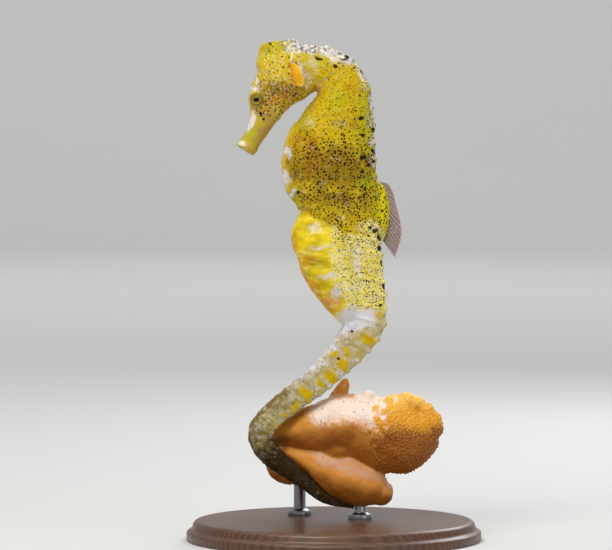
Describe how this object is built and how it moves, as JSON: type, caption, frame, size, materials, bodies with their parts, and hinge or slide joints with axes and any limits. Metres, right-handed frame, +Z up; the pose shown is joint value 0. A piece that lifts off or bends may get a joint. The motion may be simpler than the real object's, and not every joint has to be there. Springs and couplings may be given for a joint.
{
  "type": "seahorse display model",
  "caption": "Life-size still model of a male spotted seahorse, its tail gripping a cut length of soft finger coral on a round wooden stand.",
  "frame": {"origin": "middle of the stand base's underside", "axes": "+Z up; the seahorse faces -X, and its left side faces -Y"},
  "size_m": [0.074, 0.074, 0.1262],
  "materials": {
    "skin": "moist bony skin, yellow with pale saddles and small dark spots",
    "pouch": "smooth satin skin, clouded yellow",
    "tail": "bony ringed skin, grey-white and brown with yellow patches",
    "fin": "thin translucent membrane with fine rays",
    "eye": "wet dark pupil in a thin golden ring",
    "coral": "soft leathery coral, cream and orange, with small polyps",
    "steel": "brushed satin",
    "wood": "dark stained, satin"
  },
  "bodies": {
    "root": {"snout": "skin", "head": "skin", "coronet": "skin", "eye_left": "eye", "eye_right": "eye", "neck": "skin", "trunk": "skin", "fin_hump": "skin", "brood_pouch": "pouch", "tail_1": "tail", "tail_2": "tail", "tail_3": "tail", "tail_4": "tail", "tail_5": "tail", "tail_6": "tail", "dorsal_fin": "fin", "pectoral_fin_left": "fin", "pectoral_fin_right": "fin", "anal_fin": "fin", "perch_coral": "coral", "stand_rod_stem": "steel", "stand_rod_lobe": "steel", "stand_base": "wood"}
  },
  "joints": []
}
